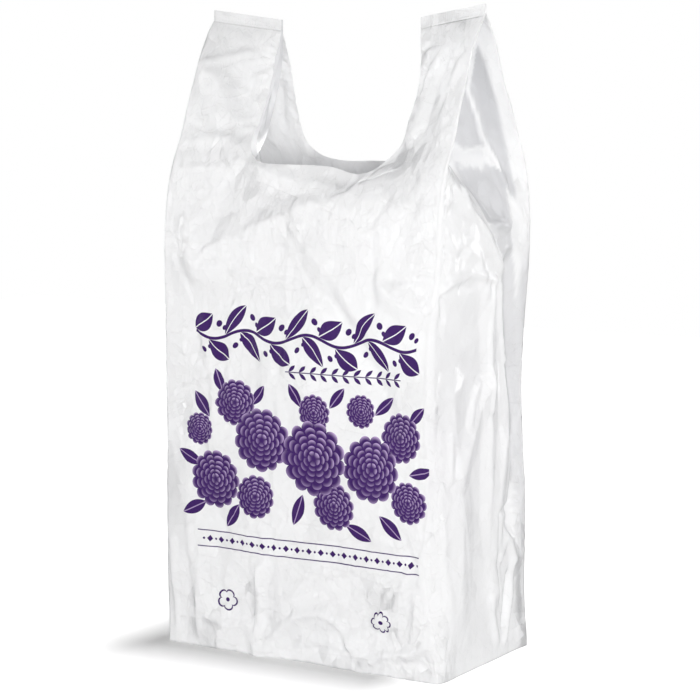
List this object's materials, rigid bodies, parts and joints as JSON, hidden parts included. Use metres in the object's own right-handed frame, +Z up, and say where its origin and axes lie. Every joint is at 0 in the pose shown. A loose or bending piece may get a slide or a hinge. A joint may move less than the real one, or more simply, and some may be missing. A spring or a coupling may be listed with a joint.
{
  "type": "plastic carrier bag",
  "caption": "Thin white film carrier bag with side gussets and two strap handles, standing open.",
  "frame": {"origin": "middle of the base, on the surface that the bag stands on", "axes": "+Z up, -Y out of the printed front panel, +X to the right of the front"},
  "size_m": [0.3058, 0.1878, 0.585],
  "materials": {
    "film": "satin white polyethylene film, finely crinkled"
  },
  "bodies": {
    "root": {"bag": "film"}
  },
  "joints": []
}
